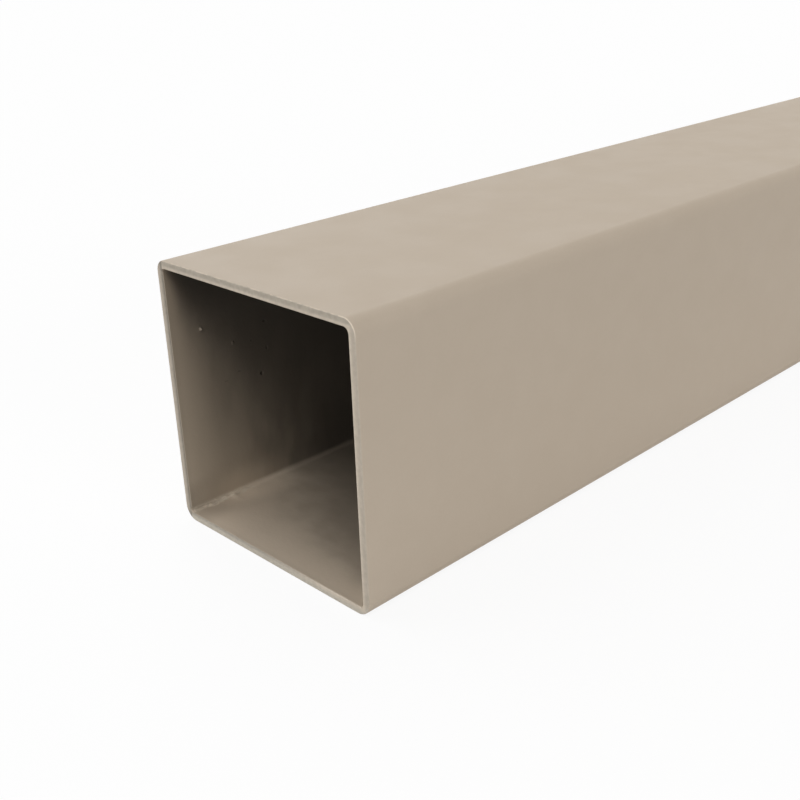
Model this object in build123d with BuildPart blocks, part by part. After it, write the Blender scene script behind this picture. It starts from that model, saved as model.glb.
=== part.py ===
from build123d import *
import os

# A piece of square hollow section: steel strip cold formed into a tube with rounded corners,
# welded shut along the middle of one side wall, sawn square at both ends, deburred and painted.
# The outside of the weld is planed flush; the bead inside stays as it left the mill.
# Frame: X along the tube, Y across it, Z up, with the origin in the middle of the underside.

# Driving dimensions, in millimetres
SIDE = 100.0  # outside width and height, over the flats
WALL = 3.0  # thickness of the strip
BEND_RADIUS = 2.0  # inside radius of the four bent corners
LENGTH = 1000.0  # from one sawn end to the other
EDGE_BREAK = 0.5  # rounding of the end edges, outside and inside
BEAD_WIDTH = 3.0  # weld bead, measured along the wall that carries it
BEAD_HEIGHT = 0.7  # how far the weld bead stands out into the bore

# Sizes that follow from them
CORNER_RADIUS = BEND_RADIUS + WALL  # the strip keeps its thickness round the bend
BORE = SIDE - 2 * WALL
MID_HEIGHT = SIDE / 2
SEAM_WALL = -BORE / 2  # inner face of the -Y wall, where the two edges of the strip meet

os.makedirs("parts", exist_ok=True)

with BuildPart() as square_tube:
    # The bent strip: one closed section, extruded from sawn end to sawn end
    with BuildSketch(Plane.YZ.offset(-LENGTH / 2)):
        with Locations((0, MID_HEIGHT)):
            RectangleRounded(SIDE, SIDE, CORNER_RADIUS)
            RectangleRounded(BORE, BORE, BEND_RADIUS, mode=Mode.SUBTRACT)
    extrude(amount=LENGTH)

    # Deburring takes the sharp edges off both ends
    sawn_ends = square_tube.faces().filter_by(Axis.X)
    fillet(sawn_ends.edges(), EDGE_BREAK)

    # The weld bead, a low crown that runs from one rounded mouth to the other
    with BuildSketch(Plane.YZ.offset(EDGE_BREAK - LENGTH / 2)):
        with BuildLine():
            foot = Line(
                (SEAM_WALL, MID_HEIGHT - BEAD_WIDTH / 2),
                (SEAM_WALL, MID_HEIGHT + BEAD_WIDTH / 2),
            )
            ThreePointArc(foot @ 0, (SEAM_WALL + BEAD_HEIGHT, MID_HEIGHT), foot @ 1)
        make_face()
    extrude(amount=LENGTH - 2 * EDGE_BREAK)

square_tube.part.label = "square_tube"
export_step(square_tube.part, "parts/square_tube.step")
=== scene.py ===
"""A one-metre piece of painted square hollow section on a plain pale studio floor.

The tube stands for the construction's one solid: the same section, length and place, with the finer
bends, rounded saw cuts, weld bead and paint that a close look shows. All sizes are metres.
"""

from __future__ import annotations

import logging
import math
from dataclasses import dataclass, field
from enum import Enum, IntEnum
from functools import partial, reduce

import bmesh
import bpy
from mathutils import Matrix, Quaternion, Vector, noise

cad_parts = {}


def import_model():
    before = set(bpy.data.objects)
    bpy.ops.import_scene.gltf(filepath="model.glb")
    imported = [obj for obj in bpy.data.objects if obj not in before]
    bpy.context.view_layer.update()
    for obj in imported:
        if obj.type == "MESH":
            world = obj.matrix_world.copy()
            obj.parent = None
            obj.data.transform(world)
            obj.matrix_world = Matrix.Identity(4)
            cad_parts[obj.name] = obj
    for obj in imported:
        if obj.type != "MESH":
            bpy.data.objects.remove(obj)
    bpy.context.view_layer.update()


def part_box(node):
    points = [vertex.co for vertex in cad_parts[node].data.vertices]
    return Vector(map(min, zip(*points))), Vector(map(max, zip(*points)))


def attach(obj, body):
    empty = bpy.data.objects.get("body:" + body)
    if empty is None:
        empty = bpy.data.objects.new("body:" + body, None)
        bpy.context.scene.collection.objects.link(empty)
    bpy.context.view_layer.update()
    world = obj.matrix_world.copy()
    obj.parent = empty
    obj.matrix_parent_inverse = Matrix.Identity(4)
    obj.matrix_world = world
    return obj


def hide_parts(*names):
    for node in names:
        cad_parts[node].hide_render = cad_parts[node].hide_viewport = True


LOG = logging.getLogger("square_tube")
MM = 0.001
TOUCH = 1e-6  # distance within which a point lies on a surface
CUT_REACH = 1e-7  # distance within which a cut takes a point already there
SHIFT_SHARES = (1.0, 0.7, 0.4)  # how a cloud's shift is shared out along the axes
RELIEF_SHARE = 0.5  # share of a finish's relief that shows
# Mesh attribute that carries each speck's painted highlight and each pit's painted shade.
NIB_MARK = "nib"
WHITE = (1.0, 1.0, 1.0, 1.0)

Triple = tuple[float, float, float]
Colour = Triple
Socket = bpy.types.NodeSocket
Value = Socket | float
Corners = dict[tuple[bool, bool], float]


class Coat(IntEnum):
    """Material slots of the tube, by where the paint lies."""

    OUTSIDE = 0
    BORE = 1


class Sum(Enum):
    """Arithmetic that the finishes use, by the name of the node's operation."""

    ADD = "ADD"
    SUBTRACT = "SUBTRACT"
    MULTIPLY = "MULTIPLY"
    DIVIDE = "DIVIDE"
    MAXIMUM = "MAXIMUM"
    MINIMUM = "MINIMUM"
    POWER = "POWER"
    ABSOLUTE = "ABSOLUTE"


@dataclass(frozen=True)
class Span:
    """A span of values that is turned smoothly into another.

    Attributes:
        start: Value that gives low.
        end: Value that gives high.
        low: Result at and before the start.
        high: Result at and after the end.
    """

    start: float
    end: float
    low: float = 0.0
    high: float = 1.0

    def beyond(self, place: float) -> Span:
        """Gives the same span, measured from a place."""
        return Span(place + self.start, place + self.end, self.low, self.high)

    def times(self, size: float) -> Span:
        """Gives the same span, as shares of a size."""
        return Span(self.start * size, self.end * size, self.low, self.high)


@dataclass(frozen=True)
class Cloud:
    """Soft noise.

    Attributes:
        size: Rough width of one patch, in metres.
        detail: Number of finer layers.
        shift: Offset into the noise, so that two clouds differ.
        stretch: How many times longer a patch is along each axis.
    """

    size: float
    detail: float = 2.0
    shift: float = 0.0
    stretch: Triple = (1.0, 1.0, 1.0)


@dataclass(frozen=True)
class Patches:
    """A cloud, and what it is turned into.

    Attributes:
        cloud: The cloud.
        span: From the cloud to the result.
    """

    cloud: Cloud
    span: Span


@dataclass
class Recipe:
    """Nodes of one material, added one by one.

    Attributes:
        name: The material's name.
        material: The material.
        x: Distance of the surface's point along the tube, from its middle.
        y: Its distance across the tube, from the middle plane.
        z: Its height.
    """

    name: str
    material: bpy.types.Material = field(init=False)
    x: Socket = field(init=False)
    y: Socket = field(init=False)
    z: Socket = field(init=False)

    def __post_init__(self) -> None:
        """Makes the material with its one shader, and splits the point into its coordinates."""
        self.material = bpy.data.materials.new(self.name)
        self.material.use_nodes = True
        self.x, self.y, self.z = self.node("ShaderNodeSeparateXYZ", {0: self.place()}).outputs

    @property
    def tree(self) -> bpy.types.NodeTree:
        """The material's nodes."""
        return self.material.node_tree

    @property
    def shader(self) -> bpy.types.ShaderNode:
        """The material's own shader."""
        return self.tree.nodes["Principled BSDF"]

    def node(self, kind: str, inputs: dict[int | str, Value | Triple], **settings: str) -> bpy.types.Node:
        """Adds a node, sets it and feeds it.

        Args:
            kind: The node's kind.
            inputs: What each socket takes.
            settings: The node's own settings.

        Returns:
            The node.
        """
        node = self.tree.nodes.new(kind)
        for name, setting in settings.items():
            setattr(node, name, setting)
        for key, source in inputs.items():
            self.feed(source, node.inputs[key])
        return node

    def feed(self, source: Value | Triple, target: Socket) -> None:
        """Gives a socket a value, or a link where the value is another socket.

        Args:
            source: The value, or the socket that it comes from.
            target: The socket that takes it.
        """
        if isinstance(source, Socket):
            self.tree.links.new(source, target)
        else:
            target.default_value = source

    def place(self) -> Socket:
        """Gives the point of the surface in the tube's own frame."""
        return self.node("ShaderNodeTexCoord", {}).outputs["Object"]

    def sum(self, how: Sum, a: Value, b: Value = 0.0) -> Socket:
        """Works out one sum of one or two values."""
        return self.node("ShaderNodeMath", {0: a, 1: b}, operation=how.value).outputs[0]

    def plus(self, *values: Value) -> Socket:
        """Adds values up."""
        return reduce(partial(self.sum, Sum.ADD), values)

    def times(self, *values: Value) -> Socket:
        """Multiplies values."""
        return reduce(partial(self.sum, Sum.MULTIPLY), values)

    def less(self, a: Value, b: Value) -> Socket:
        """Takes the second value from the first."""
        return self.sum(Sum.SUBTRACT, a, b)

    def larger(self, a: Value, b: Value = 0.0) -> Socket:
        """Gives the larger of two values."""
        return self.sum(Sum.MAXIMUM, a, b)

    def cloud(self, cloud: Cloud) -> Socket:
        """Gives soft noise between 0 and 1.

        Args:
            cloud: Its size, detail, stretch and shift.

        Returns:
            The noise.
        """
        shift = tuple(cloud.shift * share for share in SHIFT_SHARES)
        scale = tuple(1.0 / (cloud.size * s) for s in cloud.stretch)
        mapping = self.node("ShaderNodeMapping", {"Vector": self.place(), "Location": shift, "Scale": scale})
        inputs = {"Vector": mapping.outputs[0], "Scale": 1.0, "Detail": cloud.detail}
        return self.node("ShaderNodeTexNoise", inputs).outputs["Fac"]

    def patches(self, patches: Patches) -> Socket:
        """Gives what a cloud is turned into."""
        return self.ramp(self.cloud(patches.cloud), patches.span)

    def layers(self, shares: tuple[tuple[Cloud, float], ...]) -> Socket:
        """Adds up clouds, each by its share."""
        return self.plus(*(self.times(self.cloud(cloud), share) for cloud, share in shares))

    def ramp(self, value: Socket, span: Span) -> Socket:
        """Turns a span of values smoothly into another."""
        inputs = {0: value, 1: span.start, 2: span.end, 3: span.low, 4: span.high}
        return self.node("ShaderNodeMapRange", inputs, interpolation_type="SMOOTHSTEP").outputs[0]

    def ramps(self, value: Socket, spans: tuple[Span, ...], place: float = 0.0) -> list[Socket]:
        """Turns one value by several spans, measured from a place."""
        return [self.ramp(value, span.beyond(place)) for span in spans]

    def blend(self, share: Socket, a: Socket | Colour, b: Socket | Colour) -> Socket:
        """Mixes two colours, by the share of the second."""
        first, second = (c if isinstance(c, Socket) else (*c, 1.0) for c in (a, b))
        return self.node("ShaderNodeMix", {0: share, 6: first, 7: second}, data_type="RGBA").outputs[2]

    def scale(self, colour: Socket, factor: Socket) -> Socket:
        """Multiplies a colour by a factor."""
        return self.node("ShaderNodeVectorMath", {0: colour, "Scale": factor}, operation="SCALE").outputs[0]

    def relief(self, height: Socket, depth: float) -> Socket:
        """Turns a height between 0 and 1 into a shaded relief of a depth, as a normal."""
        inputs = {"Height": height, "Distance": depth, "Strength": RELIEF_SHARE}
        return self.node("ShaderNodeBump", inputs).outputs[0]


@dataclass(frozen=True)
class Finish:
    """What both finishes of the tube are laid out by.

    Attributes:
        half_length: Distance from the tube's middle to a saw cut.
        side: Outside width of the tube.
        wall: Thickness of the walls.
    """

    half_length: float
    side: float
    wall: float = 3.0 * MM

    @property
    def bore_half(self) -> float:
        """Distance from the bore's centre line to its flats."""
        return self.side / 2 - self.wall


@dataclass(frozen=True)
class PowderCoat(Finish):
    """Stone-coloured satin powder coat, with a faint orange peel and a greyer, mottled saw cut.

    A span of lengths starts from the edge that its text names.

    Attributes:
        bend: Outside radius of the upper -Y bend.
        light: Thickest paint of the faces.
        dark: Their thinnest paint.
        cut: The saw cut.
        low_cut: The bottom wall's paler cut.
        grey_cut: The upper wall's greyer cut, also the colour of the painted shade on the -Y wall's cut.
        bore_edge_dark: Darkest colour of the cut, by the bore's edge of the +Y wall and of the bottom.
        bore_edge_highlight: Pale colour by the bore's edge elsewhere, and on the bottom near the -Y wall, as
            a painted highlight.
        bead: Pale colour along the upper wall's outer edge, as a painted highlight.
        corner_highlight: The same where it is palest, round the upper -Y bend.
        gloss: How strongly the paint shines.
        cut_roughness: How much rougher the saw cut is.
        tones: Clouds that shade the faces, with their shares.
        tone: From their sum to the share of light paint.
        painted_height_light: Painted light by height, from the foot up, and its rise by the top, in sides.
        cut_edge: Start of the saw cut's finish, from the sawn end.
        blotches: Mottling of the saw cut.
        sheen: Uneven roughness.
        peel: Orange peel.
        peel_share: Its share of the relief.
        saw_marks: Marks of the saw.
        saw_share: Their share of the relief.
        peel_depth: Height of the relief.
        cut_patches: Breaks in the grey cut and in the painted highlight by the bore's edge.
        top_rim: Start of the upper wall's cut, from the bore's top.
        bottom_rim: Start of the bottom wall's cut, from the bore's bottom.
        past_highlight: End of the bottom's painted highlight, in sides from the middle.
        bore_highlight_width: Reach of the painted highlight, from the bore's edge.
        top_highlight_fade: Weakening of the painted highlight towards the upper wall, from the bore's top.
        far_edge_darkening: Darkening of the +Y wall's cut, and its end, from the bore's edge.
        low_edge_darkening: The same on the bottom.
        near_edge_shade: Painted shade on the -Y wall's cut, from its outside.
        highlight_foot: Distance from the outside at which the painted highlight begins.
        highlight_crest: Distance from it at which the painted highlight is whole.
        highlight_fall: Fading of the painted highlight down the -Y wall, from the top.
        highlight_breaks: Breaks in the painted highlight.
        corner: Start of the corner's palest painted highlight, from the -Y outside.
    """

    bend: float = 5.0 * MM
    light: Colour = (0.514, 0.434, 0.345)
    dark: Colour = (0.498, 0.419, 0.331)
    cut: Colour = (0.470, 0.408, 0.335)
    low_cut: Colour = (0.505, 0.459, 0.388)
    grey_cut: Colour = (0.372, 0.330, 0.272)
    bore_edge_dark: Colour = (0.235, 0.208, 0.172)
    bore_edge_highlight: Colour = (0.610, 0.530, 0.430)
    bead: Colour = (0.590, 0.505, 0.410)
    corner_highlight: Colour = (0.730, 0.635, 0.520)
    gloss: float = 0.16
    cut_roughness: float = 0.1
    tones: tuple[tuple[Cloud, float], ...] = (
        (Cloud(110 * MM, 3.0, stretch=(2.5, 1.0, 1.0)), 0.5),
        (Cloud(9 * MM, 2.0, 3.0), 0.3),
        (Cloud(1.1 * MM, 1.0, 5.0), 0.2),
    )
    tone: Span = Span(0.35, 0.65)
    painted_height_light: tuple[Span, ...] = (Span(0.15, 0.88, 1.02, 0.965), Span(0.93, 1.0, 0.0, 0.035))
    cut_edge: Span = Span(-0.45 * MM, -0.15 * MM)
    blotches: Patches = Patches(Cloud(1.6 * MM, 3.0, 19.0), Span(0.3, 0.7, 0.94, 1.06))
    sheen: Patches = Patches(Cloud(20 * MM, 3.0, 2.0), Span(0.3, 0.7, 0.5, 0.6))
    peel: Cloud = Cloud(2.2 * MM, 1.5, 11.0)
    peel_share: float = 0.4
    saw_marks: Cloud = Cloud(0.6 * MM, 2.0, 13.0, (1.0, 14.0, 1.0))
    saw_share: float = 0.6
    peel_depth: float = 0.05 * MM
    cut_patches: Patches = Patches(Cloud(3.0 * MM, 3.0, 9.0), Span(0.3, 0.65, 0.65, 1.0))
    top_rim: Span = Span(0.7 * MM, 1.5 * MM)
    bottom_rim: Span = Span(0.8 * MM, 0.2 * MM)
    past_highlight: Span = Span(-0.36, 0.10)
    bore_highlight_width: Span = Span(1.8 * MM, 0.5 * MM)
    top_highlight_fade: Span = Span(-3.0 * MM, 0.0, 1.0, 0.6)
    far_edge_darkening: tuple[Span, ...] = (Span(2.3 * MM, -0.2 * MM), Span(-0.4 * MM, 0.0))
    low_edge_darkening: tuple[Span, ...] = (Span(-1.3 * MM, -0.1 * MM, 0.0, 0.55), Span(0.6 * MM, 0.1 * MM))
    near_edge_shade: Span = Span(1.1 * MM, 0.3 * MM, 0.0, 0.3)
    highlight_foot: float = 0.35 * MM
    highlight_crest: float = 0.15 * MM
    highlight_fall: Span = Span(-7.5 * MM, -2.0 * MM)
    highlight_breaks: Patches = Patches(Cloud(2.5 * MM, 2.0, 21.0), Span(0.35, 0.6, 0.3, 1.0))
    corner: Span = Span(9.0 * MM, 3.0 * MM)

    def bore_edge_highlight_share(self, mix: Recipe, at_bottom_past_highlight: Socket) -> Socket:
        """Works out where the painted highlight lies, along the bore's edge.

        Args:
            mix: The material.
            at_bottom_past_highlight: Share by which the point lies on the bottom, past the painted
                highlight.

        Returns:
            The share of the painted highlight.
        """
        above_middle = mix.sum(Sum.ABSOLUTE, mix.less(mix.z, self.side / 2))
        from_centre = mix.larger(mix.sum(Sum.ABSOLUTE, mix.y), above_middle)
        edge = mix.ramp(from_centre, self.bore_highlight_width.beyond(self.bore_half))
        top = mix.ramp(mix.z, self.top_highlight_fade.beyond(self.side - self.wall))
        return mix.times(edge, mix.less(1.0, at_bottom_past_highlight), top)

    def thin_share(self, mix: Recipe, past_highlight: Socket) -> Socket:
        """Works out where the cut is darkest, along the bore's edge.

        Args:
            mix: The material.
            past_highlight: Share by which it lies past the bottom's painted highlight.

        Returns:
            The share of the darkest colour.
        """
        far = mix.times(*mix.ramps(mix.y, self.far_edge_darkening, self.bore_half))
        low = mix.times(*mix.ramps(mix.z, self.low_edge_darkening, self.wall), past_highlight)
        return mix.larger(far, low)

    def edge_highlight_share(self, mix: Recipe, at_corner: Socket) -> Socket:
        """Works out where the painted highlight lies, along the upper wall's outer edge and round its -Y
        bend.

        Args:
            mix: The material.
            at_corner: Share by which it lies at the corner, where the painted highlight has no breaks.

        Returns:
            The share of the painted highlight.
        """
        across = mix.sum(Sum.MINIMUM, mix.plus(mix.y, self.side / 2 - self.bend), 0.0)
        up = mix.larger(mix.less(mix.z, self.side - self.bend))
        reach = mix.plus(mix.times(across, across), mix.times(up, up))
        edge = Span((self.bend - self.highlight_foot) ** 2, (self.bend - self.highlight_crest) ** 2)
        fall = mix.ramp(mix.z, self.highlight_fall.beyond(self.side))
        patches = mix.patches(self.highlight_breaks)
        return mix.times(mix.ramp(reach, edge), fall, mix.larger(patches, at_corner))

    def saw_cut(self, mix: Recipe) -> Socket:
        """Works out the colour of the saw cut, wall by wall.

        Args:
            mix: The material.

        Returns:
            The colour.
        """
        at_top = mix.ramp(mix.z, self.top_rim.beyond(self.side - self.wall))
        at_bottom = mix.ramp(mix.z, self.bottom_rim.beyond(self.wall))
        past_highlight = mix.ramp(mix.y, self.past_highlight.times(self.side))
        at_corner = mix.ramp(mix.y, self.corner.beyond(-self.side / 2))
        patches = mix.patches(self.cut_patches)
        colour = mix.blend(at_bottom, self.cut, self.low_cut)
        colour = mix.blend(mix.times(at_top, patches), colour, self.grey_cut)
        # A pale line along the bore's edge of the cut is a painted highlight.
        bore_edge_highlight = mix.times(self.bore_edge_highlight_share(mix, mix.times(at_bottom, past_highlight)), patches)
        colour = mix.blend(bore_edge_highlight, colour, self.bore_edge_highlight)
        # The -Y wall's cut is darkened by its outer edge, as painted shade.
        near_edge_shading = mix.ramp(mix.y, self.near_edge_shade.beyond(-self.side / 2))
        colour = mix.blend(near_edge_shading, colour, self.grey_cut)
        # The cut is darkest along the bore's edge of the +Y wall and of the bottom.
        colour = mix.blend(self.thin_share(mix, past_highlight), colour, self.bore_edge_dark)
        # A pale line along the upper wall's outer edge, palest round the upper -Y bend, is a painted
        # highlight.
        bead = mix.blend(at_corner, self.bead, self.corner_highlight)
        return mix.blend(self.edge_highlight_share(mix, at_corner), colour, bead)

    def build(self) -> bpy.types.Material:
        """Makes the material of the four faces, the rims and their edges.

        Returns:
            The material.
        """
        mix = Recipe("powder_coat")
        share = mix.ramp(mix.layers(self.tones), self.tone)
        # Painted light by height: lighter at the foot of the sides, darker towards their top, and even again
        # on the top face.
        painted_height_light = mix.plus(*(mix.ramp(mix.z, span.times(self.side)) for span in self.painted_height_light))
        colour = mix.scale(mix.blend(share, self.dark, self.light), painted_height_light)

        at_cut = mix.ramp(mix.sum(Sum.ABSOLUTE, mix.x), self.cut_edge.beyond(self.half_length))
        mottled = mix.scale(self.saw_cut(mix), mix.patches(self.blotches))
        mix.feed(mix.blend(at_cut, colour, mottled), mix.shader.inputs["Base Color"])

        rough = mix.patches(self.sheen)
        mix.feed(mix.plus(rough, mix.times(at_cut, self.cut_roughness)), mix.shader.inputs["Roughness"])
        mix.shader.inputs["Specular IOR Level"].default_value = self.gloss

        marks = mix.times(mix.cloud(self.saw_marks), at_cut, self.saw_share)
        height = mix.plus(mix.times(mix.cloud(self.peel), self.peel_share), marks)
        mix.feed(mix.relief(height, self.peel_depth), mix.shader.inputs["Normal"])
        return mix.material


@dataclass(frozen=True)
class BoreCoat(Finish):
    """Paint blown into both mouths, which gives way to a dark colour that stands in for painted shade
    further in.

    It covers the bottom and the foot of the +Y wall, and gives way sooner under the roof and by the -Y wall,
    as painted shade where their shadows fall.
    A span of lengths starts from the nearer mouth, unless its text names another place.

    Attributes:
        bottom_paint: Paint of the bottom, at the mouth.
        low_paint: Paint at the foot of the side walls.
        roof_shaded_paint: Darker paint at their top, as painted shade under the roof.
        dusted_shade: Dark colour of the bottom, which stands in for painted shade further in.
        steel_shade: Darker colour of the other walls, which stands in for painted shade further in.
        scale: Darkest colour, as painted shade by the roof, deep inside and in the pits.
        ridge_highlight: Run of paint in the lower bend, at the mouth, painted lighter as a highlight.
        deep_ridge_highlight: The same deep inside.
        gloss: How strongly the bore shines.
        least_reach: Depth at which half of the paint is left before the painted shade, by the -Y wall.
        more_reach: How much deeper that is by the +Y wall.
        roof_fall: How sharply that depth shrinks towards the roof.
        wall_fall: How sharply it shrinks towards the -Y wall.
        roof_rest: What is left of it by the roof, by height.
        drifts: Raggedness of the edge between paint and painted shade, as a factor on the depth.
        steepness: How sharply the paint gives way to painted shade, and how much more so by the roof, by
            height.
        wanders: How far the run's line moves.
        band: Width of the run, from its line.
        tears: Gaps in the run.
        run_parts: End of the run's thick part and of its thin part.
        run_height: Its upper end, in sides.
        run_start: Its start.
        beside: Reach of the painted light and shade along the bend, from the bend's corner.
        bend_light_and_shade: How that painted light and shade lighten and darken the bend, by depth.
        mouth_shade: How it darkens by the mouth, as painted shade.
        wall_edge: How much of that shows, from the bore's bottom.
        spread: Reach of the painted light on the bottom, from the corner.
        spread_slope: How many times less it reaches up the wall.
        corner_light: How much that painted light lightens.
        cut_edge_shade: Painted shade towards the edge of the saw cut.
        at_bottom: Start of the bottom's finish, in walls from the underside.
        deep: Start of the darkest colour, as painted shade deep inside.
        roof_shade: The same by the roof, as painted shade under it, in sides.
        dullness: From the share of paint to the roughness.
        smudges: Uneven roughness.
        lumps: Clouds of the relief, with their shares.
        lump_depth: Height of the relief.
    """

    bottom_paint: Colour = (0.518, 0.431, 0.335)
    low_paint: Colour = (0.450, 0.372, 0.284)
    roof_shaded_paint: Colour = (0.280, 0.226, 0.167)
    dusted_shade: Colour = (0.190, 0.157, 0.120)
    steel_shade: Colour = (0.060, 0.050, 0.039)
    scale: Colour = (0.028, 0.023, 0.018)
    ridge_highlight: Colour = (0.67, 0.58, 0.46)
    deep_ridge_highlight: Colour = (0.25, 0.212, 0.165)
    gloss: float = 0.25
    least_reach: float = 13.0 * MM
    more_reach: float = 32.0 * MM
    roof_fall: float = 1.2
    wall_fall: float = 1.7
    roof_rest: Span = Span(78 * MM, 92 * MM, 0.0, 0.03)
    drifts: Patches = Patches(Cloud(14 * MM, 3.0, stretch=(0.7, 1.0, 2.0)), Span(0.25, 0.75, 0.88, 1.12))
    steepness: tuple[Span, ...] = (Span(40 * MM, 5 * MM, 2.3, 3.8), Span(75 * MM, 88 * MM, 0.0, 0.8))
    wanders: Patches = Patches(Cloud(3.5 * MM, 3.0, 15.0), Span(0.25, 0.75, 0.0, 2.2 * MM))
    band: Span = Span(1.9 * MM, 0.5 * MM)
    tears: Patches = Patches(Cloud(2.0 * MM, 3.0, 17.0), Span(0.40, 0.57, 0.05, 1.0))
    run_parts: tuple[Span, ...] = (Span(30 * MM, 23 * MM, 0.0, 0.75), Span(62 * MM, 40 * MM, 0.0, 0.10))
    run_height: Span = Span(0.3, 0.2)
    run_start: Span = Span(0.4 * MM, 1.5 * MM)
    beside: Span = Span(14 * MM, 5 * MM)
    bend_light_and_shade: tuple[Span, ...] = (
        Span(6 * MM, 18 * MM, -0.17, 0.0),
        Span(10 * MM, 24 * MM, 0.0, 0.18),
        Span(36 * MM, 52 * MM, 0.0, -0.28),
    )
    mouth_shade: Span = Span(1 * MM, 8 * MM, -0.14, 0.0)
    wall_edge: Span = Span(0.3 * MM, 2.0 * MM, 0.35, 1.0)
    spread: Span = Span(34 * MM, 12 * MM)
    spread_slope: float = 3.0
    corner_light: Span = Span(56 * MM, 42 * MM, 0.0, 0.11)
    cut_edge_shade: Span = Span(0.5 * MM, 3.0 * MM, 0.92, 1.0)
    at_bottom: Span = Span(1.6, 1.1)
    deep: Span = Span(60 * MM, 350 * MM)
    roof_shade: Span = Span(0.72, 1.0, 0.0, 0.8)
    dullness: Span = Span(0.0, 1.0, 0.72, 0.6)
    smudges: Patches = Patches(Cloud(12 * MM, 3.0, 4.0), Span(0.3, 0.7, -0.06, 0.06))
    lumps: tuple[tuple[Cloud, float], ...] = (
        (Cloud(1.3 * MM, 3.0, 6.0), 0.35),
        (Cloud(9 * MM, 2.0, 8.0), 0.65),
    )
    lump_depth: float = 0.3 * MM

    def paint_and_shade(self, mix: Recipe, depth: Socket) -> Socket:
        """Works out how much paint is left, which is less the higher and the nearer to the -Y wall; the rest
        is painted shade, where the roof and that wall cast their shadows.

        Args:
            mix: The material.
            depth: The point's distance in from the nearer mouth.

        Returns:
            The share of paint; the rest is painted shade.
        """
        flat_width = self.side - 3 * self.wall
        across = mix.plus(mix.sum(Sum.DIVIDE, mix.y, flat_width), 0.5)
        below_roof = mix.less(1.0, mix.sum(Sum.DIVIDE, mix.z, self.side))
        height_share = mix.sum(Sum.POWER, below_roof, self.roof_fall)
        height_share = mix.plus(height_share, mix.ramp(mix.z, self.roof_rest))
        more = mix.times(mix.sum(Sum.POWER, across, self.wall_fall), self.more_reach)
        reach = mix.times(mix.plus(more, self.least_reach), height_share)
        drift = mix.patches(self.drifts)
        share = mix.sum(Sum.DIVIDE, depth, mix.times(reach, drift))
        steepness = mix.plus(*mix.ramps(mix.z, self.steepness))
        return mix.sum(Sum.DIVIDE, 1.0, mix.plus(mix.sum(Sum.POWER, share, steepness), 1.0))

    def run(self, mix: Recipe, depth: Socket) -> Socket:
        """Works out where the ragged run of paint lies, along the lower +Y bend.

        Args:
            mix: The material.
            depth: The point's distance in from the nearer mouth.

        Returns:
            The share of the run.
        """
        from_wall = mix.less(self.bore_half, mix.y)
        across = mix.less(from_wall, mix.less(mix.z, self.wall))
        wander = mix.patches(self.wanders)
        band = mix.ramp(mix.sum(Sum.ABSOLUTE, mix.less(across, wander)), self.band)
        torn = mix.patches(self.tears)
        thick = mix.plus(*mix.ramps(depth, self.run_parts))
        low = mix.times(mix.ramp(mix.z, self.run_height.times(self.side)), mix.ramp(depth, self.run_start))
        return mix.times(band, torn, thick, low)

    def bore_light_and_shade(self, mix: Recipe, depth: Socket) -> Socket:
        """Works out the bore's painted light and shade: lighter and darker bands along the lower +Y bend,
        painted light by the +Y corner, and painted shade by the mouth.

        Args:
            mix: The material.
            depth: The point's distance in from the nearer mouth.

        Returns:
            What the colour is multiplied by.
        """
        from_wall = mix.less(self.bore_half, mix.y)
        from_bottom = mix.less(mix.z, self.wall)
        beside = mix.ramp(mix.larger(from_wall, from_bottom), self.beside)
        on_wall = mix.ramp(mix.z, self.wall_edge.beyond(self.wall))
        at_edge = mix.times(on_wall, mix.ramp(depth, self.mouth_shade))
        # Lighter and darker bands along the bend, darker by the mouth: painted light and shade.
        bend_shading = mix.plus(*mix.ramps(depth, self.bend_light_and_shade), at_edge)
        from_corner = mix.larger(from_wall, mix.times(from_bottom, self.spread_slope))
        # Painted light on the bottom by the +Y corner.
        corner_light = mix.times(mix.ramp(from_corner, self.spread), mix.ramp(depth, self.corner_light))
        # Darker right at the mouth's edge, as painted shade.
        return mix.plus(mix.times(beside, bend_shading), mix.plus(corner_light, mix.ramp(depth, self.cut_edge_shade)))

    def build(self) -> bpy.types.Material:
        """Makes the material of the bore.

        Returns:
            The material.
        """
        mix = Recipe("bore_coat")
        depth = mix.less(self.half_length, mix.sum(Sum.ABSOLUTE, mix.x))
        # Paint gives way to painted shade with depth, and sooner under the roof and by the -Y wall.
        paint_and_shade = self.paint_and_shade(mix, mix.larger(depth))
        at_bottom = mix.ramp(mix.z, self.at_bottom.times(self.wall))
        # The paint is darker up the walls, as painted shade under the roof.
        paint = mix.blend(mix.sum(Sum.DIVIDE, mix.z, self.side), self.low_paint, self.roof_shaded_paint)
        paint = mix.blend(at_bottom, paint, self.bottom_paint)
        steel_shade = mix.blend(at_bottom, self.steel_shade, self.dusted_shade)
        # The darkest colour deep inside and by the roof is painted shade.
        deep_and_roof_shade = mix.larger(mix.ramp(depth, self.deep), mix.ramp(mix.z, self.roof_shade.times(self.side)))
        steel_shade = mix.blend(deep_and_roof_shade, steel_shade, self.scale)
        # The bore's painted light and shade multiply the colour.
        colour = mix.scale(mix.blend(paint_and_shade, steel_shade, paint), self.bore_light_and_shade(mix, depth))
        # The run of paint along the lower +Y bend is painted lighter, as a highlight.
        ridge_highlight = mix.blend(paint_and_shade, self.deep_ridge_highlight, self.ridge_highlight)
        colour = mix.blend(self.run(mix, depth), colour, ridge_highlight)

        # Specks get a painted highlight, pits painted shade.
        nib = mix.node("ShaderNodeAttribute", {}, attribute_name=NIB_MARK).outputs["Fac"]
        colour = mix.blend(mix.larger(nib), colour, self.ridge_highlight)
        colour = mix.blend(mix.larger(mix.times(nib, -1.0)), colour, self.scale)
        mix.feed(colour, mix.shader.inputs["Base Color"])

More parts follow.
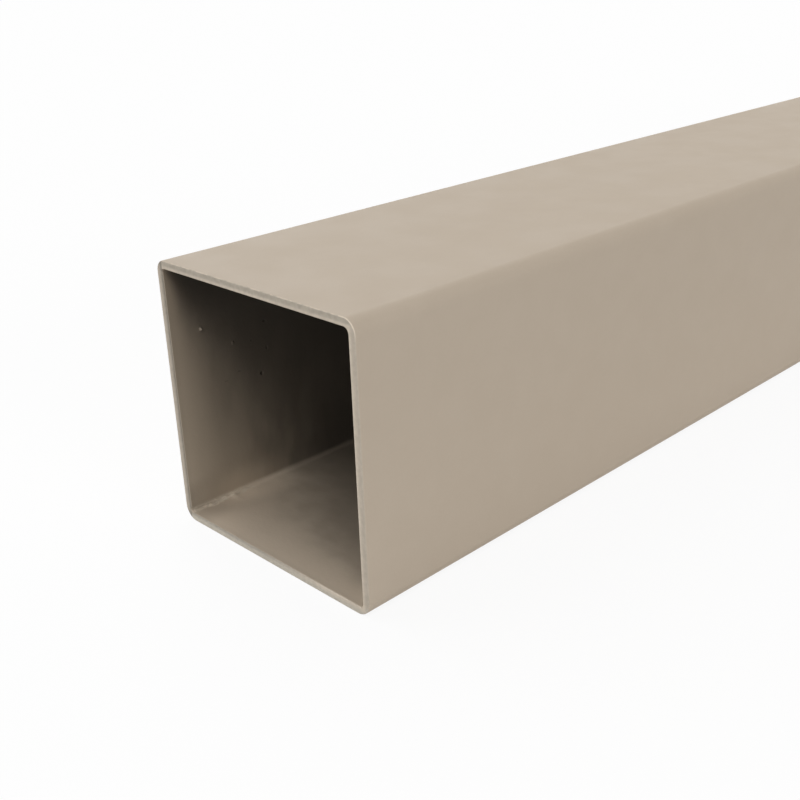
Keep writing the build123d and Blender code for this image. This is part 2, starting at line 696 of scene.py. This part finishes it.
        smudge = mix.patches(self.smudges)
        mix.feed(mix.plus(mix.ramp(paint_and_shade, self.dullness), smudge), mix.shader.inputs["Roughness"])
        mix.shader.inputs["Specular IOR Level"].default_value = self.gloss
        mix.feed(mix.relief(mix.layers(self.lumps), self.lump_depth), mix.shader.inputs["Normal"])
        return mix.material


@dataclass(frozen=True)
class Bend:
    """One of the strip's four bends, which rolling left a little different from one another.

    Attributes:
        outer: Radius of its outside.
        inner: Radius of its inside.
    """

    outer: float
    inner: float


def round_off(bm: bmesh.types.BMesh, geom: list, radius: float, steps: int, what: str) -> None:
    """Rounds corners or edges off, in a number of faces."""
    shape = {"offset_type": "OFFSET", "profile": 0.5, "material": -1}
    bmesh.ops.bevel(bm, geom=geom, offset=radius, segments=steps, affect=what, **shape)


def cut_through(bm: bmesh.types.BMesh, geom: list, place: Vector, along: Vector) -> None:
    """Divides geometry where a plane through a place, square to a direction, meets it."""
    bmesh.ops.bisect_plane(bm, geom=geom, plane_co=place, plane_no=along, dist=CUT_REACH)


def rounded_square(bm: bmesh.types.BMesh, side: float, radii: Corners, steps: int) -> None:
    """Adds a square with round corners, as a closed loop of edges in the XY plane round the origin.

    Args:
        bm: The mesh that the loop is added to.
        side: Width over the flats.
        radii: Radius of each corner, by whether the corner is at +X and at +Y.
        steps: Edges in each corner.
    """
    square = bmesh.ops.create_circle(bm, cap_ends=True, radius=side / math.sqrt(2), segments=4)["verts"]
    bmesh.ops.rotate(bm, verts=square, cent=(0, 0, 0), matrix=Matrix.Rotation(math.pi / 4, 3, "Z"))
    for corner, radius in [(vert, radii[vert.co.x > 0, vert.co.y > 0]) for vert in square]:
        round_off(bm, [corner], radius, steps, "VERTICES")
    bmesh.ops.delete(bm, geom=bm.faces[:], context="FACES_ONLY")


@dataclass(frozen=True)
class Wave:
    """Unevenness along the tube.

    Attributes:
        size: How far it swings either way.
        pace: Swings in a metre, roughly.
        seed: What sets it apart from the others.
    """

    size: float
    pace: float
    seed: float

    def at(self, along: float) -> float:
        """Gives the swing at a distance along the tube."""
        return self.size * noise.noise(Vector((along * self.pace, self.seed, 0)))


def left_of(depth: float, end: float, fade: float) -> float:
    """Tells how much is left, at a depth, of what fades out over a length and ends at another."""
    return max(0.0, min(1.0, (end - depth) / fade))


@dataclass(frozen=True)
class Nib:
    """A speck caught in the paint, or the small pit that one left, on the bore's +Y wall.

    Attributes:
        depth: Distance in from the near saw cut.
        height: Height above the underside.
        radius: Radius at its foot.
        rise: How far it stands out of the wall; a pit is negative.
        tone: Share of painted highlight on it, or of painted shade where it is negative.
        stretch: How many times longer it is along the tube than it is high.
    """

    depth: float
    height: float
    radius: float
    rise: float
    tone: float
    stretch: float = 1.0


@dataclass
class Tube:
    """The strip, bent round four corners, welded, sawn and painted.

    Attributes:
        low: Lowest corner of the construction's solid.
        high: Its highest corner.
        wall: Thickness of the walls.
        upper_far: The upper +Y bend.
        upper_near: The upper -Y bend, at the mouths.
        lower_far: The lower +Y bend.
        lower_near: The lower -Y bend.
        easing: Depth at which the upper -Y bend has come down to its own radius.
        eased_outer: Its outside radius from there on.
        edge_break: Radius of the edges of the saw cuts.
        bend_steps: Faces round each bend.
        edge_steps: Faces round each edge of a saw cut.
        flat_steps: Faces across each flat.
        bead_width: Width of the weld bead.
        bead_height: Its height.
        bead_steps: Faces across it.
        bead_line: How its line wanders.
        bead_ripple: How its height changes, as a share.
        lip_depth: Depth to which the faces are finest.
        lip_steps: Number of them.
        mouth_depth: Depth to which fine faces follow them.
        mouth_steps: Number of them.
        middle_steps: Faces along the rest.
        surface_slack: Distance from the bend within which a point belongs to it.
        run_end: Depth past which no paint run is laid.
        thick_run: Depth at which its thick part ends, and the length over which it fades.
        thin_run: The same of its thin part.
        thin_share: Share of the thin part in its height.
        run_swell: How it thickens and thins.
        run_lumps: Its smaller lumps.
        run_line: How its line wanders.
        run_middle: Middle of that line, as a share of the bend from the wall down.
        nibs: The specks and pits of the near mouth.
        nib_room: How far the faces made anew reach past a nib, along and upward.
        nib_rings: Share of the radius and of the rise at each ring of a nib.
    """

    low: Vector
    high: Vector
    wall: float = 3.0 * MM
    upper_far: Bend = Bend(4.2 * MM, 1.2 * MM)
    upper_near: Bend = Bend(5.0 * MM, 2.2 * MM)
    lower_far: Bend = Bend(5.4 * MM, 2.0 * MM)
    lower_near: Bend = Bend(5.6 * MM, 1.6 * MM)
    easing: float = 30.0 * MM
    eased_outer: float = 4.2 * MM
    edge_break: float = 0.5 * MM
    bend_steps: int = 8
    edge_steps: int = 4
    flat_steps: int = 32
    bead_width: float = 3.0 * MM
    bead_height: float = 0.7 * MM
    bead_steps: int = 6
    bead_line: Wave = Wave(0.15 * MM, 40, 3.1)
    bead_ripple: Wave = Wave(0.15, 400, 7.3)
    lip_depth: float = 48.0 * MM
    lip_steps: int = 48
    mouth_depth: float = 120.0 * MM
    mouth_steps: int = 28
    middle_steps: int = 40
    surface_slack: float = 0.05 * MM
    run_end: float = 100.0 * MM
    thick_run: tuple[float, float] = (30.0 * MM, 6.0 * MM)
    thin_run: tuple[float, float] = (85.0 * MM, 50.0 * MM)
    thin_share: float = 0.1
    run_swell: Wave = Wave(0.8, 420, 1.7)
    run_lumps: Wave = Wave(0.5, 1100, 4.2)
    run_line: Wave = Wave(0.22, 300, 9.2)
    run_middle: float = 0.66
    nibs: tuple[Nib, ...] = (
        Nib(12.8 * MM, 71.9 * MM, 0.8 * MM, 0.9 * MM, 0.25),
        Nib(26.0 * MM, 62.9 * MM, 0.9 * MM, 0.25 * MM, 0.0),
        Nib(34.5 * MM, 61.5 * MM, 0.5 * MM, -0.25 * MM, -0.5),
        Nib(41.2 * MM, 67.4 * MM, 0.6 * MM, -0.35 * MM, -0.6, 2.0),
        Nib(41.3 * MM, 56.8 * MM, 1.0 * MM, -0.4 * MM, -0.5, 0.6),
        Nib(38.0 * MM, 47.3 * MM, 0.95 * MM, -0.6 * MM, -0.6),
        Nib(21.8 * MM, 49.1 * MM, 0.4 * MM, -0.1 * MM, -0.2, 5.0),
        Nib(28.0 * MM, 51.2 * MM, 0.4 * MM, -0.1 * MM, -0.2, 5.0),
    )
    nib_room: tuple[float, float] = (1.4 * MM, 2.2 * MM)
    nib_rings: tuple[tuple[float, float], ...] = ((1.0, 0.0), (0.8, 0.3), (0.55, 0.75), (0.28, 0.96))

    @property
    def side(self) -> float:
        """Outside width over the flats."""
        return self.high.z - self.low.z

    @property
    def length(self) -> float:
        """Length from one sawn end to the other."""
        return self.high.x - self.low.x

    @property
    def mid_height(self) -> float:
        """Height of the bore's centre line."""
        return (self.low.z + self.high.z) / 2

    @property
    def bore_half(self) -> float:
        """Distance from the bore's centre line to its flats."""
        return self.side / 2 - self.wall

    def section(self, bm: bmesh.types.BMesh) -> None:
        """Adds the tube's section as one ring of faces in the plane of the -X end.

        Args:
            bm: The tube's mesh.
        """
        bends = {
            (True, True): self.upper_far,
            (False, True): self.upper_near,
            (True, False): self.lower_far,
            (False, False): self.lower_near,
        }
        rounded_square(bm, self.side, {place: bend.outer for place, bend in bends.items()}, self.bend_steps)
        inside = {place: bend.inner for place, bend in bends.items()}
        rounded_square(bm, self.side - 2 * self.wall, inside, self.bend_steps)
        flats = [e for e in bm.edges if e.calc_length() > self.side / 2]
        bmesh.ops.subdivide_edges(bm, edges=flats, cuts=self.flat_steps - 1)
        bmesh.ops.bridge_loops(bm, edges=bm.edges[:])
        to_end = Matrix.Translation((self.low.x, 0, self.mid_height)) @ Matrix(
            ((0, 0, 1, 0), (1, 0, 0, 0), (0, 1, 0, 0), (0, 0, 0, 1))
        )
        bmesh.ops.transform(bm, matrix=to_end, verts=bm.verts[:])
        for step in range(self.bead_steps + 1):
            angle = math.pi * step / self.bead_steps
            height = self.mid_height + math.cos(angle) * self.bead_width / 2
            seam_side = [f for f in bm.faces if f.calc_center_median().y < -self.bore_half]
            around = {e for f in seam_side for e in f.edges} | {v for f in seam_side for v in f.verts}
            cut_through(bm, [*seam_side, *around], Vector((0, 0, height)), Vector((0, 0, 1)))

    def draw_out(self, bm: bmesh.types.BMesh) -> None:
        """Extrudes the section along the tube and rounds the edges of both saw cuts.

        Args:
            bm: The tube's mesh.
        """
        made = bmesh.ops.extrude_face_region(bm, geom=bm.faces[:])["geom"]
        far = [v for v in made if isinstance(v, bmesh.types.BMVert)]
        bmesh.ops.translate(bm, vec=(self.length, 0, 0), verts=far)
        bmesh.ops.recalc_face_normals(bm, faces=bm.faces[:])
        sawn = [e for e in bm.edges if e.is_manifold and e.calc_face_angle() > math.pi / 4]
        round_off(bm, sawn, self.edge_break, self.edge_steps, "EDGES")

    def stations(self, bm: bmesh.types.BMesh) -> None:
        """Divides the walls along the tube, finely near the mouths and more coarsely between them.

        Args:
            bm: The tube's mesh.
        """
        for depth in (self.lip_depth, self.mouth_depth):
            for x in (self.low.x + depth, self.high.x - depth):
                cut_through(bm, [*bm.verts, *bm.edges, *bm.faces], Vector((x, 0, 0)), Vector((1, 0, 0)))
        runs = [e for e in bm.edges if abs(e.verts[0].co.x - e.verts[1].co.x) > self.lip_depth / 2]
        spans = {self.lip_steps: [], self.mouth_steps: [], self.middle_steps: []}
        for edge in runs:
            from_end = self.length / 2 - abs(edge.verts[0].co.x + edge.verts[1].co.x) / 2
            inside_lip, inside_mouth = from_end < self.lip_depth, from_end < self.mouth_depth
            steps = self.lip_steps if inside_lip else self.mouth_steps if inside_mouth else self.middle_steps
            spans[steps].append(edge)
        for steps, edges in spans.items():
            bmesh.ops.subdivide_edges(bm, edges=edges, cuts=steps - 1, use_grid_fill=True)

    def ease_bend(self, bm: bmesh.types.BMesh) -> None:
        """Tightens the outside of the upper -Y bend, from its radius at the mouths to its own further in.

        Args:
            bm: The tube's mesh.
        """
        old = self.upper_near.outer
        for vert in bm.verts:
            arm = Vector((0, vert.co.y + self.side / 2 - old, vert.co.z - self.high.z + old))
            if arm.y > TOUCH or arm.z < -TOUCH or abs(arm.length - old) > TOUCH:
                continue
            inward = min(1.0, (self.length / 2 - abs(vert.co.x)) / self.easing)
            radius = old + (self.eased_outer - old) * inward * inward * (3 - 2 * inward)
            centre = Vector((0, radius - self.side / 2, self.high.z - radius))
            vert.co = Vector((vert.co.x, 0, 0)) + centre + arm.normalized() * radius

    def raise_weld(self, bm: bmesh.types.BMesh) -> None:
        """Raises the weld bead on the bore's -Y wall, with a slightly wandering line and uneven height.

        Args:
            bm: The tube's mesh.
        """
        half = self.bead_width / 2
        for vert in bm.verts:
            past_edge = abs(vert.co.x) > self.length / 2 - self.edge_break
            if past_edge or abs(vert.co.y + self.bore_half) > TOUCH:
                continue
            across = (vert.co.z - self.mid_height - self.bead_line.at(vert.co.x)) / half
            if abs(across) < 1:
                ripple = 1 - self.bead_ripple.size + self.bead_ripple.at(vert.co.x)
                vert.co.y += self.bead_height * ripple * (1 - across * across)

    def lay_paint_run(self, bm: bmesh.types.BMesh) -> None:
        """Lays the uneven run of paint in the bore's lower +Y bend.

        Args:
            bm: The tube's mesh.
        """
        radius = self.lower_far.inner
        centre = Vector((0, self.bore_half - radius, self.low.z + self.wall + radius))
        for vert in bm.verts:
            depth = vert.co.x - self.low.x
            arm = Vector((0, vert.co.y - centre.y, vert.co.z - centre.z))
            if depth < self.edge_break or depth > self.run_end or arm.y < -TOUCH or arm.z > TOUCH:
                continue
            if abs(arm.length - radius) > self.surface_slack:
                continue
            near = left_of(depth, *self.thick_run)
            thick = self.thin_share * left_of(depth, *self.thin_run) + (1 - self.thin_share) * near
            wave = max(0.0, 0.5 + self.run_swell.at(depth) + self.run_lumps.at(depth))
            turn = math.atan2(-arm.z, arm.y) / (math.pi / 2)
            width = (0.20 + 0.16 * wave) * (0.5 + 0.5 * near)
            share = max(0.0, 1 - ((turn - self.run_middle - self.run_line.at(depth)) / width) ** 2)
            vert.co -= arm.normalized() * thick * share * (0.4 + 0.9 * wave) * MM

    def drop_nibs(self, bm: bmesh.types.BMesh) -> None:
        """Raises each speck, and sinks each pit, out of the wall's own faces, and marks specks for a painted
        highlight and pits for painted shade.

        Args:
            bm: The tube's mesh.
        """
        mark = bm.verts.layers.float.new(NIB_MARK)
        room_x, room_z = self.nib_room
        for nib in self.nibs:
            spot = Vector((self.low.x + nib.depth, self.bore_half, self.low.z + nib.height))
            reach_x = nib.radius * nib.stretch + room_x
            reach_z = nib.radius + room_z
            near = []
            for face in bm.faces:
                off = face.calc_center_median() - spot
                if abs(off.y) < TOUCH and abs(off.x) < reach_x and abs(off.z) < reach_z:
                    near.append(face)
            patch = bmesh.ops.dissolve_faces(bm, faces=near, use_verts=False)["region"][0]
            for share, lift in self.nib_rings:
                bmesh.ops.inset_individual(bm, faces=[patch], thickness=0.1 * nib.radius, depth=0)
                for vert in patch.verts:
                    off = Vector(((vert.co.x - spot.x) / nib.stretch, 0, vert.co.z - spot.z))
                    out = off.normalized() * nib.radius * share
                    vert.co = spot + Vector((out.x * nib.stretch, -nib.rise * lift, out.z))
                    vert[mark] = nib.tone * lift
            top = bmesh.ops.poke(bm, faces=[patch])["verts"][0]
            top.co = spot - Vector((0, nib.rise, 0))
            top[mark] = nib.tone

    def build(self) -> bpy.types.Object:
        """Makes the tube's mesh.

        Returns:
            The tube, with its slots still empty.
        """
        bm = bmesh.new()
        self.section(bm)
        self.draw_out(bm)
        self.stations(bm)
        self.ease_bend(bm)
        self.raise_weld(bm)
        self.lay_paint_run(bm)
        inner = self.bore_half + 10 * TOUCH
        for face in bm.faces:
            face.smooth = True
            centre = face.calc_center_median()
            inside = abs(centre.y) < inner and abs(centre.z - self.mid_height) < inner
            face.material_index = Coat.BORE if inside else Coat.OUTSIDE
        self.drop_nibs(bm)
        mesh = bpy.data.meshes.new("tube")
        bm.to_mesh(mesh)
        bm.free()
        tube = bpy.data.objects.new("tube", mesh)
        bpy.context.scene.collection.objects.link(tube)
        return tube

    def dress(self, tube: bpy.types.Object) -> None:
        """Gives the tube its two finishes and even shading, and ties it to the construction.

        Args:
            tube: The tube.
        """
        tube.data.materials.append(PowderCoat(self.length / 2, self.side).build())
        tube.data.materials.append(BoreCoat(self.length / 2, self.side).build())
        weighted = tube.modifiers.new("even_normals", "WEIGHTED_NORMAL")
        weighted.mode = "FACE_AREA"
        weighted.keep_sharp = False
        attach(tube, "root")
        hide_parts("square_tube")


def bearing(azimuth: float, elevation: float) -> Vector:
    """Gives the direction to a bearing (0 is the -Y side, 90 the +X end) and a height, in degrees."""
    a, e = math.radians(azimuth), math.radians(elevation)
    return Vector((math.sin(a) * math.cos(e), -math.cos(a) * math.cos(e), math.sin(e)))


@dataclass
class Camera:
    """The view of the near mouth, over its corner and down the tube.

    Attributes:
        mouth: Bottom centre of the near saw cut.
        side: The tube's width, which the distances below are given in.
        behind: How far the camera stands before the mouth, against the tube's direction.
        beside: How far it stands beside the tube's middle plane, on the -Y side.
        above: How far it stands above the underside.
        azimuth: Bearing that it looks from, in degrees.
        elevation: Height above the horizon that it looks down from, in degrees.
        roll: How far it is turned round its own line of sight, in degrees.
        lens: Focal length in millimetres.
    """

    mouth: Vector
    side: float
    behind: float = 1.9246
    beside: float = 2.6693
    above: float = 1.9946
    azimuth: float = -43.96
    elevation: float = 23.195
    roll: float = -2.053
    lens: float = 49.12

    def build(self) -> None:
        """Adds the camera and makes it the scene's."""
        data = bpy.data.cameras.new("camera")
        data.lens = self.lens
        data.sensor_width = 36.0
        data.clip_start = 0.01
        data.clip_end = 100.0
        camera = bpy.data.objects.new("camera", data)
        back = bearing(self.azimuth, self.elevation)
        camera.rotation_mode = "QUATERNION"
        turn = Quaternion((0, 0, 1), math.radians(self.roll))
        camera.rotation_quaternion = (-back).to_track_quat("-Z", "Y") @ turn
        camera.location = self.mouth + self.side * Vector((-self.behind, -self.beside, self.above))
        bpy.context.scene.collection.objects.link(camera)
        bpy.context.scene.camera = camera


@dataclass(frozen=True)
class Lamp:
    """A broad, far, soft lamp.

    Attributes:
        name: The lamp's name.
        azimuth: Bearing that it stands on, in degrees; 0 is the -Y side and 90 the +X end.
        elevation: Height above the horizon, in degrees.
        level: Light on a surface that faces it, where 1 shows a colour as it is written.
        spread: Width of the lamp as the tube sees it, in degrees.
    """

    name: str
    azimuth: float
    elevation: float
    level: float
    spread: float

    def build(self) -> None:
        """Adds the lamp."""
        data = bpy.data.lights.new(self.name, "SUN")
        data.energy = self.level * math.pi
        data.angle = math.radians(self.spread)
        lamp = bpy.data.objects.new(self.name, data)
        back = bearing(self.azimuth, self.elevation)
        lamp.rotation_mode = "QUATERNION"
        lamp.rotation_quaternion = (-back).to_track_quat("-Z", "Y")
        bpy.context.scene.collection.objects.link(lamp)


@dataclass
class Studio:
    """Plain white surroundings: a floor, soft lamps and an even, weaker light from everywhere.

    Attributes:
        lamps: The soft lamps.
        everywhere: Light from all round, where 1 shows a colour as it is written.
        floor_radius: Radius of the floor.
        paper: How much of the light the floor throws back.
        shadow: How dark the tube's shadow may show on the white floor.
    """

    lamps: tuple[Lamp, ...] = (
        Lamp("overhead", 180.0, 45.0, 0.552, 80.0),
        Lamp("beside", 0.0, 15.0, 0.28, 20.0),
        Lamp("above_mouth", -60.0, 55.0, 0.21, 16.0),
        Lamp("before_mouth", -75.0, 15.0, 0.24, 20.0),
    )
    everywhere: float = 0.20
    floor_radius: float = 8.0
    paper: float = 0.8
    shadow: float = 0.1

    def seen_directly(self, tree: bpy.types.NodeTree) -> Socket:
        """Tells rays that see the surroundings, also in gloss, from those that light the tube.

        Args:
            tree: Nodes that the test is added to.

        Returns:
            1 where a ray sees the surroundings, otherwise 0.
        """
        path = tree.nodes.new("ShaderNodeLightPath")
        share = path.outputs["Is Camera Ray"]
        for name in ("Is Glossy Ray", "Is Transmission Ray"):
            either = tree.nodes.new("ShaderNodeMath")
            either.operation = "MAXIMUM"
            tree.links.new(share, either.inputs[0])
            tree.links.new(path.outputs[name], either.inputs[1])
            share = either.outputs[0]
        return share

    def show(self, tree: bpy.types.NodeTree, lighting: Socket, shown: Socket, surface: Socket) -> None:
        """Lights the tube by one shader and shows another where the surroundings are seen.

        Args:
            tree: Nodes that both are in.
            lighting: The shader that lights the tube.
            shown: The shader that is seen.
            surface: The output that takes them.
        """
        mix = tree.nodes.new("ShaderNodeMixShader")
        tree.links.new(self.seen_directly(tree), mix.inputs[0])
        tree.links.new(lighting, mix.inputs[1])
        tree.links.new(shown, mix.inputs[2])
        tree.links.new(mix.outputs[0], surface)

    def add_world(self) -> None:
        """Makes the white surroundings."""
        world = bpy.data.worlds.new("studio")
        world.use_nodes = True
        tree = world.node_tree
        shown = tree.nodes["Background"]
        shown.inputs["Color"].default_value = WHITE
        shown.inputs["Strength"].default_value = 1.0
        light = tree.nodes.new("ShaderNodeBackground")
        light.inputs["Color"].default_value = WHITE
        light.inputs["Strength"].default_value = self.everywhere
        surface = tree.nodes["World Output"].inputs["Surface"]
        self.show(tree, light.outputs[0], shown.outputs[0], surface)
        bpy.context.scene.world = world

    def add_floor(self) -> None:
        """Makes the white paper floor, on which the tube leaves a faint soft shadow."""
        bm = bmesh.new()
        bmesh.ops.create_circle(bm, cap_ends=True, radius=self.floor_radius, segments=96)
        mesh = bpy.data.meshes.new("floor")
        bm.to_mesh(mesh)
        bm.free()
        floor = bpy.data.objects.new("floor", mesh)
        bpy.context.scene.collection.objects.link(floor)
        paper = bpy.data.materials.new("white_paper")
        paper.use_nodes = True
        tree = paper.node_tree
        plain = tree.nodes["Principled BSDF"]
        plain.inputs["Base Color"].default_value = (self.paper, self.paper, self.paper, 1)
        plain.inputs["Roughness"].default_value = 0.9
        plain.inputs["Specular IOR Level"].default_value = 0.0
        glow = tree.nodes.new("ShaderNodeEmission")
        glow.inputs["Color"].default_value = WHITE
        glow.inputs["Strength"].default_value = 1.0
        trace = tree.nodes.new("ShaderNodeBsdfDiffuse")
        trace.inputs["Color"].default_value = WHITE
        shown = tree.nodes.new("ShaderNodeMixShader")
        shown.inputs[0].default_value = self.shadow
        tree.links.new(glow.outputs[0], shown.inputs[1])
        tree.links.new(trace.outputs[0], shown.inputs[2])
        surface = tree.nodes["Material Output"].inputs["Surface"]
        self.show(tree, plain.outputs[0], shown.outputs[0], surface)
        mesh.materials.append(paper)

    def build(self) -> None:
        """Adds the surroundings, the floor and the lamps."""
        self.add_world()
        self.add_floor()
        for lamp in self.lamps:
            lamp.build()
        bpy.context.scene.view_settings.view_transform = "Standard"


def main() -> None:
    """Builds the tube, dresses it and sets up the studio."""
    logging.basicConfig(level=logging.INFO, format="%(name)s: %(message)s")
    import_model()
    low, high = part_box("square_tube")

    tube = Tube(low, high)
    body = tube.build()
    tube.dress(body)
    LOG.info("tube: %d faces", len(body.data.polygons))

    studio = Studio()
    studio.build()
    LOG.info("studio: %d lamps", len(studio.lamps))
    Camera(Vector((low.x, 0, low.z)), tube.side).build()


if __name__ == "__main__":
    main()
